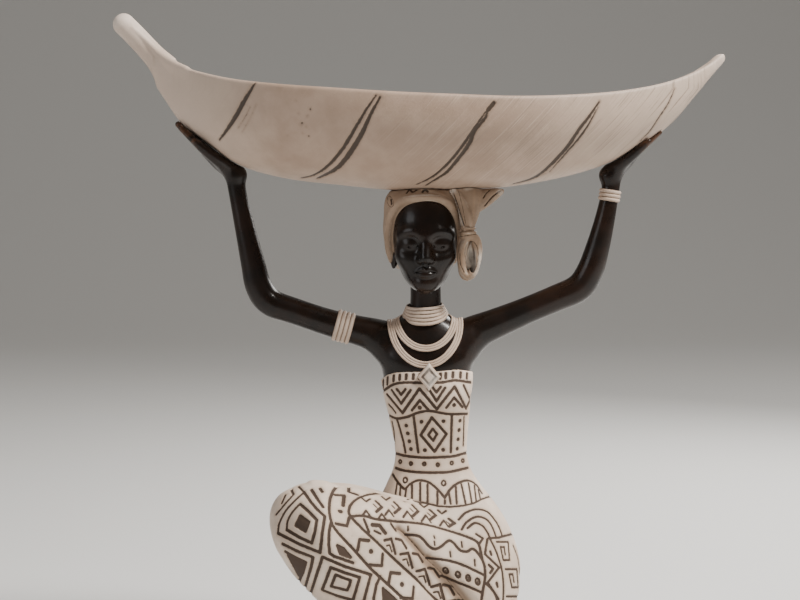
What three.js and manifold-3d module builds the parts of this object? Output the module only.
// Bowl bearer figure: a crouching figure in a carved dress and headscarf holds a long leaf bowl
// on its head and palms. The figure is one casting, the bowl a second, the low oval base a third.
// Millimetres, +Z up. The figure looks along -Y. The origin is the middle of the base underside.
import * as THREE from "three";
import { mergeVertices } from "three/addons/utils/BufferGeometryUtils.js";
import Module from "manifold-3d";

const wasm = await Module();
wasm.setup();

// Free gap between pieces that touch.
const GAP = 0.3;

// Paint of each casting.
const CREAM_PAINT = { color: 0xd8cabb, roughness: 0.55, metalness: 0 };
const BOWL_PAINT = { color: 0xbfae9c, roughness: 0.6, metalness: 0 };
const BROWN_STAIN = { color: 0x2a211b, roughness: 0.45, metalness: 0 };

// Low oval base.
const BASE_HALF_LENGTH = 80;
const BASE_HALF_WIDTH = 58;
const BASE_HEIGHT = 12;
const BASE_BEVEL = 2;
const BASE_SIDES = 40;
const FLOOR_CUT_SIZE = [400, 400, 60];

// Leaf bowl. Each station: x, half width, height of the keel, height of the rim.
const BOWL_STATIONS = [
  [-136, 4.5, 338, 352],
  [-131, 8.5, 330, 352.5],
  [-122, 15, 317.5, 348.5],
  [-108, 26, 306.5, 344],
  [-90, 36.5, 295.2, 340],
  [-66, 46.5, 288.6, 337],
  [-38, 53.5, 285.2, 334.8],
  [-8, 56, 282.4, 332.8],
  [22, 55, 282.4, 331.6],
  [52, 51, 284.2, 330.8],
  [80, 44.5, 289, 331.6],
  [104, 36, 296, 333.6],
  [124, 26.5, 306.2, 336.8],
  [140, 18, 318, 341],
  [153, 10.5, 333, 346.2],
  [162, 5.5, 344, 351.4],
  [168.5, 1.2, 352.5, 355.5],
];
const BOWL_WALL = 4;
const BOWL_FULLNESS = 2.2;
const BOWL_SECTION_STEPS = 14;
const BOWL_MOUTH_CUT = 9;
// The hollow ends in a small rounded row behind the stalk and runs close to the leaf tip.
const HOLLOW_START = [-127, 7.5, 327, 351];
const HOLLOW_FROM = -124;
const HOLLOW_TO = 163;
// Rolled stalk from the small end of the hollow to its rounded tip. Each station: x, z, radius.
const STALK = [
  [-130, 345.5, 6.6],
  [-142, 356.5, 5.1],
  [-155, 372, 6],
  [-157.6, 375.4, 4.3],
  [-158.6, 376.8, 1.8],
];
const STALK_SIDES = 12;

// Dress from the seat to its top edge. Each section: z, centre x, centre y, half width, half depth.
const DRESS_SECTIONS = [
  [12, 22, 12, 24, 23],
  [20, 21.5, 12, 28.5, 27],
  [40, 19.5, 10, 35, 33],
  [60, 20.4, 9, 38.8, 36],
  [74, 20.8, 8.5, 39.6, 36],
  [84, 20.2, 8, 39, 35],
  [93, 18.8, 8, 37.8, 33],
  [103, 16.8, 7, 35.2, 29],
  [113, 14.4, 6.5, 31, 25],
  [122, 12.8, 6, 25.6, 20],
  [130, 12, 6, 21.4, 16.2],
  [138, 11.6, 5.4, 19.6, 14.6],
  [147, 11.1, 4.4, 20, 14.6],
  [160, 10.3, 2.2, 21.8, 16],
  [170, 9.5, 0.4, 23.4, 18],
  [178, 9.2, -0.4, 24.6, 18.2],
  [184.6, 9, 0, 25, 16.8],
];

// Bare chest, shoulders and neck, in the same terms.
const CHEST_SECTIONS = [
  [172, 9, 1, 22, 15],
  [186, 8.9, 0, 24.2, 15.6],
  [193, 8.7, 0, 27.5, 15],
  [200, 8.6, 0.5, 29, 13.6],
  [206, 8.5, 1, 26, 12.2],
  [210.5, 8.5, 1.5, 19, 11],
  [214.5, 8.5, 2, 12, 9.8],
  [219, 8.5, 2, 8.6, 8.8],
  [238, 8.4, 1.5, 8.2, 9],
];
const BODY_SIDES = 18;
const BODY_FULLNESS = 2.2;
const LEG_FULLNESS = 2.7;
const FLAT_FULLNESS = 2.4;
const CHEST_MIDDLE_Y = 1;

// Legs drawn up, knees to the left front. Both legs lie side by side under the skirt.
const LEG_ACROSS = new THREE.Vector3(0.53, -0.848, 0);
const LEG_FORWARD = new THREE.Vector3(-0.85, -0.527, 0);
const LEG_SIDES = 16;
// Each leg station: x, y, z, half width across both legs, half depth.
const THIGHS = [
  [30, 12, 76, 28, 24],
  [8, -1, 87, 30, 22],
  [-14, -14, 96.5, 30.5, 20.6],
  [-32, -25, 104, 30.5, 20.2],
  [-44, -32.4, 106.4, 30, 20.2],
  [-53, -38, 106, 28.4, 18],
  [-60, -42.4, 104, 24.6, 13.4],
  [-64, -44.6, 102, 16, 6],
];
const SHINS = [
  [-49, -35.4, 121.5, 16, 6],
  [-50.6, -36.4, 117, 25, 14.6],
  [-49.4, -35.8, 109, 29.6, 21.4],
  [-41.8, -31.2, 97.4, 30.5, 25.2],
  [-26.4, -21.8, 78.4, 30, 27.4],
  [-10.4, -12.2, 56, 28.5, 26.6],
  [2, -4.8, 38, 26.5, 23.6],
  [9.4, -0.4, 22, 25, 19],
];
// Feet peek out under the hem. Each station: distance from heel, half width, top height, from base.
const FOOT_STATIONS = [
  [-4, 5.5, 9],
  [2, 7.2, 13],
  [14, 7.4, 15],
  [30, 7.8, 13],
  [44, 9, 9.5],
  [53, 8.6, 6.6],
  [58, 6.4, 4],
];
const HEEL = [8, 0];
const FOOT_SPREAD = 11.6;
const FOOT_SIDES = 10;
// The feet reach this far into the base before they are cut level with its top.
const FOOT_DIP = 2;

// Arms raised sideways. Each station: x, y, z, radius.
const RIGHT_ARM = [
  [18, 1, 197.5, 9.5],
  [31, 1, 204, 9.3],
  [46, 0.8, 210.2, 8.2],
  [62, 0.4, 217, 7.3],
  [79, 0, 224.2, 7.2],
  [91, 0, 229.8, 7.5],
  [96.8, -0.4, 238.5, 7.2],
  [100.6, -0.8, 250, 6.5],
  [104.4, -1, 265, 5.5],
  [107.4, -1, 279, 4.8],
  [110, -1, 290, 5],
];
const LEFT_ARM = [
  [-2, 1, 197.5, 9.5],
  [-15, 1, 203, 9.1],
  [-30, 0.8, 207, 8],
  [-45, 0.4, 211.2, 7.3],
  [-62, 0, 217, 7.1],
  [-75.5, 0, 222, 7.5],
  [-81.6, -0.4, 230.5, 7.2],
  [-84.6, -0.8, 243, 6.5],
  [-88.4, -1, 260, 5.5],
  [-92.4, -1, 276, 4.8],
  [-96, -1, 289, 5],
];
const ARM_SIDES = 10;

// Hands: wrist end, knuckle line and reach of the fingers, seen in the x z plane.
const RIGHT_HAND = { wrist: [109.6, 288], knuckles: [120.5, 302.4], tips: [134.5, 315] };
const LEFT_HAND = { wrist: [-95.6, 287], knuckles: [-108.6, 302.6], tips: [-124, 317.6] };
const HAND_Y = -1;
// Each palm station: share of the way from wrist to knuckles, half width, half thickness.
const PALM = [
  [0, 5, 4.6],
  [0.4, 7.2, 4.4],
  [1, 9, 4],
  [1.2, 8.4, 2.6],
];
// Each finger station: share of its reach, height above the finger line, radius.
const FINGER = [
  [0, -0.6, 2.3],
  [0.55, -0.8, 2.3],
  [1, 0, 1.2],
];
const FINGER_PITCH = 4.5;
const FINGER_SPREAD = 1.12;
const FINGER_REACH = [0.86, 1, 0.97, 0.8];
// Each thumb station: share from wrist to knuckles, way on towards the tips, y, radius.
const THUMB = [
  [0.25, 0, -3.6, 3.4],
  [0.65, 0, -8.4, 3],
  [1, 3.5, -11.6, 2.4],
  [1, 8.5, -13.2, 1.5],
];
const PALM_SIDES = 10;
const FINGER_SIDES = 6;

// Head. Each section: z, centre x, centre y, half width, half depth.
const HEAD_X = 8.2;
const HEAD_SECTIONS = [
  [228.2, HEAD_X, -10.6, 3.6, 4.4],
  [230, HEAD_X, -9.4, 6.8, 8],
  [233.4, HEAD_X, -6.8, 10.2, 12],
  [238, HEAD_X, -4.2, 12.8, 15.4],
  [244, HEAD_X, -2.6, 15, 17.8],
  [252, HEAD_X, -1.6, 17, 19.6],
  [260, HEAD_X, -1, 17.6, 20.4],
  [268, HEAD_X, -0.6, 17.4, 19.8],
  [275, HEAD_X, 0, 16, 18],
  [280, HEAD_X, 0.4, 14, 15.6],
  [284, HEAD_X, 0.6, 11, 12],
];
const HEAD_SIDES = 16;
const HEAD_FULLNESS = 2.1;
const NOSE = [
  [HEAD_X, -19.4, 258, 1.6, 1.6],
  [HEAD_X, -21.6, 252, 2, 2.2],
  [HEAD_X, -22.6, 246.6, 3, 3],
  [HEAD_X, -20.6, 243.6, 2.2, 2],
];
const LIPS = [
  [HEAD_X - 4.4, -19.4, 239, 0.6, 0.6],
  [HEAD_X, -20.6, 238.8, 2, 1.8],
  [HEAD_X + 4.4, -19.4, 239, 0.6, 0.6],
];
const FEATURE_SIDES = 8;
const EAR = { offset: 16.6, y: -1.2, z: 245.6, width: 2.1, depth: 3.6, height: 5.6, rows: 5 };

// Headscarf, its knot and loop on the right.
const SCARF_SECTIONS = [
  [239.4, 7.2, 7.4, 15.2, 18.2],
  [242, 7.2, 6.7, 17.2, 20.4],
  [249, 7, 5.8, 20, 24],
  [258, 7, 5, 21.3, 26],
  [267, 7, 4.6, 21.4, 26.4],
  [274, 7, 4.4, 21, 25.2],
  [279.5, 7.2, 4.2, 19.6, 23],
  [284, 7.6, 4, 16.6, 18.6],
];
const SCARF_SIDES = 18;
// The face opening is cut by a plane through these two places, each y, z.
const SCARF_FACE_LOW = [0.6, 238];
const SCARF_FACE_HIGH = [-18.4, 278.5];
const FACE_CUT_SIZE = [90, 40, 120];
const KNOT_GATHER = [
  [26, -9, 283, 7, 8],
  [30.4, -10, 278.6, 7, 7.4],
  [31.3, -11.5, 270, 4.9, 5.4],
  [30.9, -12, 262, 3.9, 4.1],
];
const KNOT_SIDES = 10;
const KNOT_CINCH = { centre: [30.9, -12, 261], sizes: [5.2, 5, 2.9], around: 12, rows: 6 };
const LOOP_CENTRE = [31.8, -12, 247.4];
const LOOP_HALF_WIDTH = 4.3;
const LOOP_HALF_HEIGHT = 8.3;
const LOOP_TUBE = 3.1;
const LOOP_LEAN = 1.2;
const LOOP_STEPS = 14;
const LOOP_SIDES = 8;
const TAIL = [
  [26, -6, 275.6, 6.4, 6],
  [36, -7.5, 277.2, 6.4, 5],
  [43, -8.3, 279.5, 4.1, 3.4],
  [50.2, -9, 281.8, 1.5, 1.5],
];

// Jewellery.
const CHOKER = { centre: [8.1, 0.5, 216.4], tilt: 17, roll: 3, strands: 5, pitch: 1.9 };
const CHOKER_SIDES = 18;
const CHOKER_TOP_RADIUS = 10.2;
const CHOKER_BOTTOM_RADIUS = 12.4;
const GROOVE_SHARE = 0.42;
const BANGLE_THICKNESS = 2.4;
// Each necklace is a flat band of three strands: half width, lowest height, height at the sides.
const NECKLACES = [
  [15.4, 198.2, 212.8],
  [18.8, 189.6, 211.6],
];
const NECKLACE_X = 8.3;
const NECKLACE_STATIONS = 20;
const NECKLACE_FALL = 1.12;
// How far the strands face sideways and upwards while they follow the shoulders.
const NECKLACE_TURN = 0.6;
const NECKLACE_LIFT = 4;
const NECKLACE_BACK = { y: 12, rise: 4.5 };
const STRANDS = 3;
const STRAND_PITCH = 1.25;
const STRAND_HEIGHT = 0.9;
const STRAND_GROOVE = 0.2;
const PENDANT = { x: 9.7, y: -18.4, z: 182.9, halfWidth: 6.5, halfHeight: 7.7, depth: 4 };
const ARMBAND = { along: 0.24, strands: 4, pitch: 2.4, rise: 1, sides: 14 };
const WRISTBAND = { along: 0.905, strands: 3, pitch: 2.1, rise: 1.1, sides: 12 };

// A closed solid from rings of equal point count, with flat fans over both ends.
function ringSolid(rings) {
  const count = rings[0].length;
  const points = rings.flat();
  const triangles = [];
  for (let i = 0; i + 1 < rings.length; i += 1) {
    for (let j = 0; j < count; j += 1) {
      const next = (j + 1) % count;
      const a = i * count + j;
      const b = i * count + next;
      triangles.push(a, b, b + count, a, b + count, a + count);
    }
  }
  const capEnd = (ring, start, flip) => {
    const middle = new THREE.Vector3();
    ring.forEach((point) => middle.addScaledVector(point, 1 / count));
    const centre = points.push(middle) - 1;
    for (let j = 0; j < count; j += 1) {
      const next = (j + 1) % count;
      const pair = flip ? [start + next, start + j] : [start + j, start + next];
      triangles.push(centre, ...pair);
    }
  };
  capEnd(rings[0], 0, true);
  capEnd(rings[rings.length - 1], (rings.length - 1) * count, false);
  return solidOf(points, triangles);
}

// A ring of rings closed on itself, for strands and loops.
function hoopSolid(rings) {
  const count = rings[0].length;
  const triangles = [];
  rings.forEach((ring, i) => {
    const here = i * count;
    const there = ((i + 1) % rings.length) * count;
    for (let j = 0; j < count; j += 1) {
      const next = (j + 1) % count;
      triangles.push(here + j, here + next, there + next, here + j, there + next, there + j);
    }
  });
  return solidOf(rings.flat(), triangles);
}

function solidOf(points, triangles) {
  const vertProperties = new Float32Array(points.flatMap((point) => point.toArray()));
  const triVerts = new Uint32Array(triangles);
  return new wasm.Manifold(new wasm.Mesh({ numProp: 3, vertProperties, triVerts }));
}

function solidFromGeometry(geometry) {
  const plain = geometry.clone();
  plain.deleteAttribute("normal");
  plain.deleteAttribute("uv");
  const merged = mergeVertices(plain, 1e-4);
  const vertProperties = new Float32Array(merged.attributes.position.array);
  const triVerts = new Uint32Array(merged.index.array);
  return new wasm.Manifold(new wasm.Mesh({ numProp: 3, vertProperties, triVerts }));
}

function signedPower(value, power) {
  return Math.sign(value) * Math.abs(value) ** power;
}

// An upright stack of oval sections. A fullness above 2 squares the ovals.
function uprightStack(sections, sides, fullness = BODY_FULLNESS) {
  return ringSolid(
    sections.map(([z, x, y, halfWidth, halfDepth]) => {
      const ring = [];
      for (let j = 0; j < sides; j += 1) {
        const angle = (2 * Math.PI * j) / sides;
        const across = signedPower(Math.cos(angle), 2 / fullness);
        const deep = signedPower(Math.sin(angle), 2 / fullness);
        ring.push(new THREE.Vector3(x + halfWidth * across, y + halfDepth * deep, z));
      }
      return ring;
    }),
  );
}

// A limb along a smooth line through its stations, each x, y, z, half width, half depth.
function limb(stations, sides, acrossHint, fullness = 2, perStation = 1) {
  const centres = new THREE.CatmullRomCurve3(
    stations.map(([x, y, z]) => new THREE.Vector3(x, y, z)),
    false,
    "centripetal",
  );
  const sizes = new THREE.CatmullRomCurve3(
    stations.map(([, , , wide, deep]) => new THREE.Vector3(wide, deep ?? wide, 0)),
    false,
    "centripetal",
  );
  const steps = (stations.length - 1) * perStation;
  const rings = [];
  for (let i = 0; i <= steps; i += 1) {
    const centre = centres.getPoint(i / steps);
    const size = sizes.getPoint(i / steps);
    const tangent = centres.getTangent(i / steps);
    const across = acrossHint.clone().addScaledVector(tangent, -acrossHint.dot(tangent));
    across.normalize();
    const deep = tangent.clone().cross(across);
    const ring = [];
    for (let j = 0; j < sides; j += 1) {
      const angle = (2 * Math.PI * j) / sides;
      const wideShare = signedPower(Math.cos(angle), 2 / fullness) * size.x;
      const deepShare = signedPower(Math.sin(angle), 2 / fullness) * size.y;
      ring.push(
        centre.clone().addScaledVector(across, wideShare).addScaledVector(deep, deepShare),
      );
    }
    rings.push(ring);
  }
  return ringSolid(rings);
}

function roundProfile(radius, sides) {
  return Array.from({ length: sides }, (_, j) => {
    const angle = (2 * Math.PI * j) / sides;
    return [Math.cos(angle) * radius, Math.sin(angle) * radius];
  });
}

// A bar bent into a closed loop through the given points. Its profile is given as pairs:
// distance away from the middle of the loop, distance sideways.
function loopBar(points, profile, outwardHint) {
  const closed = new THREE.CatmullRomCurve3(points, true, "centripetal");
  const middle = new THREE.Vector3();
  points.forEach((point) => middle.addScaledVector(point, 1 / points.length));
  const rings = points.map((point, i) => {
    const tangent = closed.getTangent(i / points.length);
    const outward = outwardHint ? outwardHint(point) : point.clone().sub(middle);
    outward.addScaledVector(tangent, -outward.dot(tangent)).normalize();
    const side = tangent.clone().cross(outward);
    return profile.map(([away, sideways]) =>
      point.clone().addScaledVector(outward, away).addScaledVector(side, sideways),
    );
  });
  return hoopSolid(rings);
}

function ellipsoid([x, y, z], [width, depth, height], around, up) {
  const ball = new THREE.SphereGeometry(1, around, up);
  ball.rotateX(Math.PI / 2);
  ball.scale(width, depth, height);
  ball.translate(x, y, z);
  return solidFromGeometry(ball);
}

// A bangle of touching strands, lathed about +Y and then set on its axis.
function bangle(strands, pitch, sides, radiusAt) {
  const bottom = -pitch * strands * 0.5;
  const groove = pitch * GROOVE_SHARE;
  const profile = [new THREE.Vector2(radiusAt(0) - BANGLE_THICKNESS, bottom)];
  profile.push(new THREE.Vector2(radiusAt(0) - groove, bottom));
  for (let i = 0; i < strands; i += 1) {
    const share = (i + 0.5) / strands;
    profile.push(new THREE.Vector2(radiusAt(share), bottom + pitch * (i + 0.5)));
    const edge = (i + 1) / strands;
    profile.push(new THREE.Vector2(radiusAt(edge) - groove, bottom + pitch * (i + 1)));
  }
  profile.push(new THREE.Vector2(radiusAt(1) - BANGLE_THICKNESS, -bottom));
  profile.push(profile[0].clone());
  return new THREE.LatheGeometry(profile, sides);
}

function bangleOnLimb(stations, band) {
  const curve = new THREE.CatmullRomCurve3(
    stations.map(([x, y, z]) => new THREE.Vector3(x, y, z)),
    false,
    "centripetal",
  );
  const place = band.along * (stations.length - 1);
  const low = Math.floor(place);
  const share = place - low;
  const radius = stations[low][3] * (1 - share) + stations[low + 1][3] * share + band.rise;
  const shape = bangle(band.strands, band.pitch, band.sides, () => radius);
  const axis = curve.getTangent(band.along);
  const turn = new THREE.Quaternion().setFromUnitVectors(new THREE.Vector3(0, 1, 0), axis);
  shape.applyQuaternion(turn);
  const centre = curve.getPoint(band.along);
  shape.translate(centre.x, centre.y, centre.z);
  return solidFromGeometry(shape);
}

function joined(solids) {
  return solids.reduce((sum, solid) => sum.add(solid));
}

// One U section of the bowl; grow moves its faces outwards, lift raises its top.
function bowlSection([x, halfWidth, keel, rim], grow, lift) {
  const width = halfWidth + grow;
  const depth = rim - keel + grow;
  const ring = [];
  for (let j = 0; j <= BOWL_SECTION_STEPS; j += 1) {
    const angle = (Math.PI * j) / BOWL_SECTION_STEPS;
    const across = signedPower(Math.cos(angle), 2 / BOWL_FULLNESS);
    const down = Math.sin(angle) ** (2 / BOWL_FULLNESS);
    ring.push(new THREE.Vector3(x, width * across, rim - depth * down));
  }
  ring.push(new THREE.Vector3(x, -width, rim + lift));
  ring.push(new THREE.Vector3(x, width, rim + lift));
  return ring.reverse();
}

function bowlStations(perStation) {
  const shape = new THREE.CatmullRomCurve3(
    BOWL_STATIONS.map(([x, width, keel]) => new THREE.Vector3(x, width, keel)),
    false,
    "centripetal",
  );
  const edge = new THREE.CatmullRomCurve3(
    BOWL_STATIONS.map(([x, , , rim]) => new THREE.Vector3(x, rim, 0)),
    false,
    "centripetal",
  );
  const steps = (BOWL_STATIONS.length - 1) * perStation;
  return Array.from({ length: steps + 1 }, (_, i) => {
    const body = shape.getPoint(i / steps);
    const rim = edge.getPoint(i / steps);
    return [body.x, body.y, body.z, rim.y];
  });
}

function stalk(grow) {
  const stations = STALK.map(([x, z, radius]) => [x, 0, z, radius + grow]);
  return limb(stations, STALK_SIDES, new THREE.Vector3(0, 1, 0));
}

const BOWL_SECTIONS = bowlStations(1);

function bowlHull(grow) {
  const body = ringSolid(BOWL_SECTIONS.map((station) => bowlSection(station, grow, 0.02)));
  return body.add(stalk(grow));
}

function leafBowl() {
  const hollowRows = [
    HOLLOW_START,
    ...BOWL_SECTIONS.filter(([x]) => x > HOLLOW_FROM && x < HOLLOW_TO),
  ];
  const hollow = ringSolid(
    hollowRows.map((station) => bowlSection(station, -BOWL_WALL, BOWL_MOUTH_CUT)),
  );
  return bowlHull(0).subtract(hollow);
}

function foot(side) {
  const heel = new THREE.Vector3(HEEL[0], HEEL[1], BASE_HEIGHT);
  heel.addScaledVector(LEG_ACROSS, side * FOOT_SPREAD);
  const stations = FOOT_STATIONS.map(([along, halfWidth, top]) => {
    const centre = heel.clone().addScaledVector(LEG_FORWARD, along);
    const halfHeight = (top + FOOT_DIP) * 0.5;
    return [centre.x, centre.y, BASE_HEIGHT + top - halfHeight, halfWidth, halfHeight];
  });
  return limb(stations, FOOT_SIDES, LEG_ACROSS, FLAT_FULLNESS);
}

function hand(shape) {
  const [wrist, knuckles, tips] = [shape.wrist, shape.knuckles, shape.tips].map(
    ([x, z]) => new THREE.Vector3(x, HAND_Y, z),
  );
  const forward = tips.clone().sub(knuckles).normalize();
  const across = new THREE.Vector3(0, 1, 0);
  const palmRows = PALM.map(([share, wide, thick]) => {
    const centre = wrist.clone().lerp(knuckles, share);
    return [...centre.toArray(), wide, thick];
  });
  const fingers = FINGER_REACH.map((reach, i) => {
    const sideways = FINGER_PITCH * (i - (FINGER_REACH.length - 1) / 2);
    const end = knuckles.clone().lerp(tips, reach);
    const rows = FINGER.map(([share, lift, radius]) => {
      const centre = knuckles.clone().lerp(end, share);
      const spread = THREE.MathUtils.lerp(1, FINGER_SPREAD, share);
      return [centre.x, HAND_Y + sideways * spread, centre.z + lift, radius];
    });
    return limb(rows, FINGER_SIDES, across);
  });
  const thumbRows = THUMB.map(([share, onward, y, radius]) => {
    const centre = wrist.clone().lerp(knuckles, share).addScaledVector(forward, onward);
    return [centre.x, y, centre.z, radius];
  });
  const palm = limb(palmRows, PALM_SIDES, across, FLAT_FULLNESS);
  return joined([palm, ...fingers, limb(thumbRows, FINGER_SIDES, across)]);
}

function armRows(stations) {
  return stations.map(([x, y, z, radius]) => [x, y, z, radius, radius]);
}

function headAndScarf() {
  const head = uprightStack(HEAD_SECTIONS, HEAD_SIDES, HEAD_FULLNESS);
  const nose = limb(NOSE, FEATURE_SIDES, new THREE.Vector3(1, 0, 0));
  const lips = limb(LIPS, FEATURE_SIDES, new THREE.Vector3(0, 0, 1));
  const earSizes = [EAR.width, EAR.depth, EAR.height];
  const ears = [-1, 1].map((side) => {
    const place = [HEAD_X + side * EAR.offset, EAR.y, EAR.z];
    return ellipsoid(place, earSizes, FEATURE_SIDES, EAR.rows);
  });
  const wrap = uprightStack(SCARF_SECTIONS, SCARF_SIDES, HEAD_FULLNESS);
  const lean = Math.atan2(
    SCARF_FACE_LOW[0] - SCARF_FACE_HIGH[0],
    SCARF_FACE_HIGH[1] - SCARF_FACE_LOW[1],
  );
  const faceCut = new THREE.BoxGeometry(...FACE_CUT_SIZE);
  faceCut.translate(0, -FACE_CUT_SIZE[1] / 2, 0);
  faceCut.rotateX(lean);
  faceCut.translate(0, SCARF_FACE_LOW[0], SCARF_FACE_LOW[1]);
  const scarf = wrap.subtract(solidFromGeometry(faceCut));
  const gather = limb(KNOT_GATHER, KNOT_SIDES, new THREE.Vector3(0.8, 0.2, 0.5));
  const { centre, sizes, around, rows } = KNOT_CINCH;
  const cinch = ellipsoid(centre, sizes, around, rows);
  const loopPoints = Array.from({ length: LOOP_STEPS }, (_, i) => {
    const angle = (2 * Math.PI * i) / LOOP_STEPS;
    return new THREE.Vector3(
      LOOP_CENTRE[0] + LOOP_HALF_WIDTH * Math.sin(angle),
      LOOP_CENTRE[1] - LOOP_LEAN * Math.cos(angle),
      LOOP_CENTRE[2] + LOOP_HALF_HEIGHT * Math.cos(angle),
    );
  });
  const loop = loopBar(loopPoints, roundProfile(LOOP_TUBE, LOOP_SIDES));
  const tail = limb(TAIL, FEATURE_SIDES, new THREE.Vector3(0, 0, 1));
  return [head, nose, lips, ...ears, scarf, gather, cinch, loop, tail];
}

// Depth of the chest surface in front of a place given by x and z.
function chestFront(x, z) {
  const above = CHEST_SECTIONS.findIndex(([height]) => height > z);
  const [lowZ, ...low] = CHEST_SECTIONS[above - 1];
  const [highZ, ...high] = CHEST_SECTIONS[above];
  const share = (z - lowZ) / (highZ - lowZ);
  const [centreX, centreY, halfWidth, halfDepth] = low.map((value, i) =>
    THREE.MathUtils.lerp(value, high[i], share),
  );
  const reach = Math.min(1, Math.abs(x - centreX) / halfWidth);
  return centreY - halfDepth * (1 - reach ** BODY_FULLNESS) ** (1 / BODY_FULLNESS);
}

// Touching strands side by side, as pairs for loopBar.
function strandProfile() {
  const half = (STRAND_PITCH * STRANDS) / 2;
  const profile = [[-STRAND_HEIGHT, -half]];
  for (let i = 0; i < STRANDS; i += 1) {
    const middle = STRAND_PITCH * (i - (STRANDS - 1) / 2);
    if (i > 0) {
      profile.push([STRAND_HEIGHT * STRAND_GROOVE, middle - STRAND_PITCH / 2]);
    }
    profile.push([STRAND_HEIGHT, middle]);
  }
  profile.push([-STRAND_HEIGHT, half]);
  return profile;
}

function jewellery() {
  const choker = bangle(CHOKER.strands, CHOKER.pitch, CHOKER_SIDES, (share) =>
    THREE.MathUtils.lerp(CHOKER_BOTTOM_RADIUS, CHOKER_TOP_RADIUS, share),
  );
  choker.rotateX(Math.PI / 2 + THREE.MathUtils.degToRad(CHOKER.tilt));
  choker.rotateY(-THREE.MathUtils.degToRad(CHOKER.roll));
  choker.translate(...CHOKER.centre);
  const necklaces = NECKLACES.map(([halfWidth, low, side]) => {
    const points = Array.from({ length: NECKLACE_STATIONS }, (_, i) => {
      const angle = (2 * Math.PI * i) / NECKLACE_STATIONS;
      const front = Math.max(0, Math.cos(angle));
      const back = Math.max(0, -Math.cos(angle));
      const x = NECKLACE_X + halfWidth * Math.sin(angle);
      const z = side - (side - low) * front ** NECKLACE_FALL + NECKLACE_BACK.rise * back;
      const y = front > 0 ? chestFront(x, z) : CHEST_MIDDLE_Y + NECKLACE_BACK.y * back;
      return new THREE.Vector3(x, y, z);
    });
    const outward = ({ x, y }) =>
      new THREE.Vector3((x - NECKLACE_X) * NECKLACE_TURN, y - CHEST_MIDDLE_Y, NECKLACE_LIFT);
    return loopBar(points, strandProfile(), outward);
  });
  const outline = new THREE.Shape();
  outline.moveTo(0, PENDANT.halfHeight);
  outline.lineTo(-PENDANT.halfWidth, 0);
  outline.lineTo(0, -PENDANT.halfHeight);
  outline.lineTo(PENDANT.halfWidth, 0);
  const plate = new THREE.ExtrudeGeometry(outline, {
    depth: PENDANT.depth,
    bevelEnabled: false,
  });
  plate.rotateX(Math.PI / 2);
  plate.translate(PENDANT.x, PENDANT.y + PENDANT.depth * 0.5, PENDANT.z);
  return [solidFromGeometry(choker), ...necklaces, solidFromGeometry(plate)];
}

function bearer() {
  const dress = uprightStack(DRESS_SECTIONS, BODY_SIDES);
  const chest = uprightStack(CHEST_SECTIONS, BODY_SIDES);
  const thighs = limb(THIGHS, LEG_SIDES, LEG_ACROSS, LEG_FULLNESS);
  const shins = limb(SHINS, LEG_SIDES, LEG_ACROSS, LEG_FULLNESS);
  const upright = new THREE.Vector3(0, 1, 0);
  const arms = [RIGHT_ARM, LEFT_ARM].map((rows) => limb(armRows(rows), ARM_SIDES, upright));
  const bands = [bangleOnLimb(LEFT_ARM, ARMBAND), bangleOnLimb(RIGHT_ARM, WRISTBAND)];
  const all = joined([
    dress,
    chest,
    thighs,
    shins,
    foot(1),
    foot(-1),
    ...arms,
    hand(RIGHT_HAND),
    hand(LEFT_HAND),
    ...bands,
    ...headAndScarf(),
    ...jewellery(),
  ]);
  const floorCut = new THREE.BoxGeometry(...FLOOR_CUT_SIZE);
  floorCut.translate(0, 0, BASE_HEIGHT + GAP - FLOOR_CUT_SIZE[2] / 2);
  return all.subtract(solidFromGeometry(floorCut)).subtract(bowlHull(GAP));
}

function ovalBase() {
  const profile = [
    new THREE.Vector2(0, 0),
    new THREE.Vector2(BASE_HALF_LENGTH - BASE_BEVEL * 0.5, 0),
    new THREE.Vector2(BASE_HALF_LENGTH, BASE_BEVEL * 0.5),
    new THREE.Vector2(BASE_HALF_LENGTH, BASE_HEIGHT - BASE_BEVEL),
    new THREE.Vector2(BASE_HALF_LENGTH - BASE_BEVEL, BASE_HEIGHT),
    new THREE.Vector2(0, BASE_HEIGHT),
  ];
  const shape = new THREE.LatheGeometry(profile, BASE_SIDES);
  shape.rotateX(Math.PI / 2);
  shape.scale(1, BASE_HALF_WIDTH / BASE_HALF_LENGTH, 1);
  return solidFromGeometry(shape);
}

function meshOf(name, solid, finish) {
  const data = solid.getMesh();
  const geometry = new THREE.BufferGeometry();
  geometry.setAttribute("position", new THREE.BufferAttribute(data.vertProperties, 3));
  geometry.setIndex(new THREE.BufferAttribute(data.triVerts, 1));
  geometry.computeVertexNormals();
  const mesh = new THREE.Mesh(geometry, new THREE.MeshStandardMaterial(finish));
  mesh.name = name;
  return mesh;
}

const part = new THREE.Group();
part.name = "bowl_bearer_figure";
part.add(meshOf("bearer_figure", bearer(), CREAM_PAINT));
part.add(meshOf("leaf_bowl", leafBowl(), BOWL_PAINT));
part.add(meshOf("oval_base", ovalBase(), BROWN_STAIN));

export default part;
